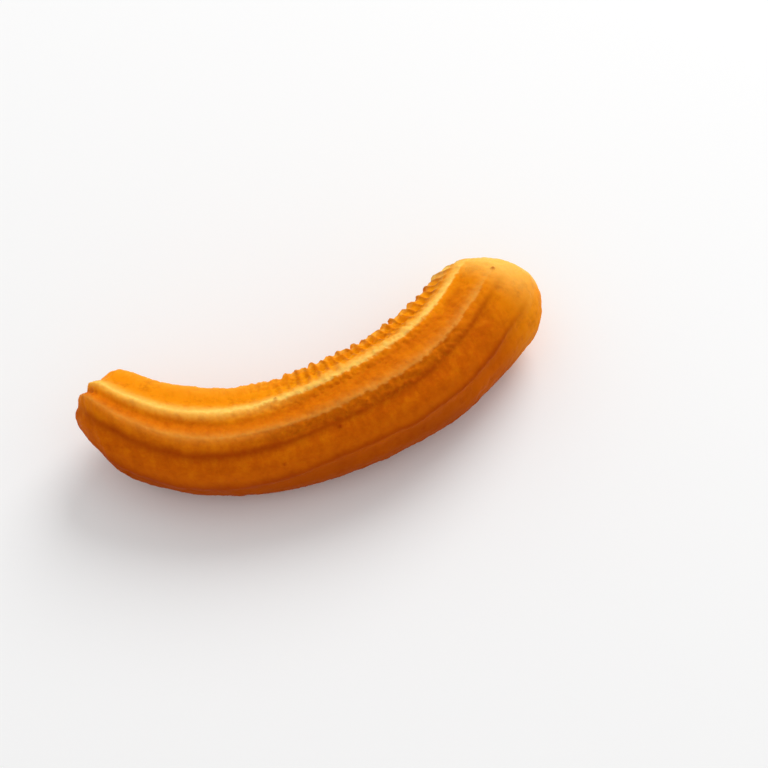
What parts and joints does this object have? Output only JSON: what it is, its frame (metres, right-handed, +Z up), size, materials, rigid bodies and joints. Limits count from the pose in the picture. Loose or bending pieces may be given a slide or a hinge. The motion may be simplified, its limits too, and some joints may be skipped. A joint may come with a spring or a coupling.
{
  "type": "churro",
  "caption": "Short stick of ridged fried dough, curved like a banana, with one lobed end and one smooth rounded end.",
  "frame": {"origin": "middle of the box's underside, on the surface that the churro lies on", "axes": "+X along the chord from the lobed end to the rounded end, +Y to the inside of the curve, +Z up"},
  "size_m": [0.0994, 0.036, 0.0238],
  "materials": {
    "fried_dough": "golden orange fried crust, paler on the crests of the ridges"
  },
  "bodies": {
    "root": {"churro": "fried_dough"}
  },
  "joints": []
}
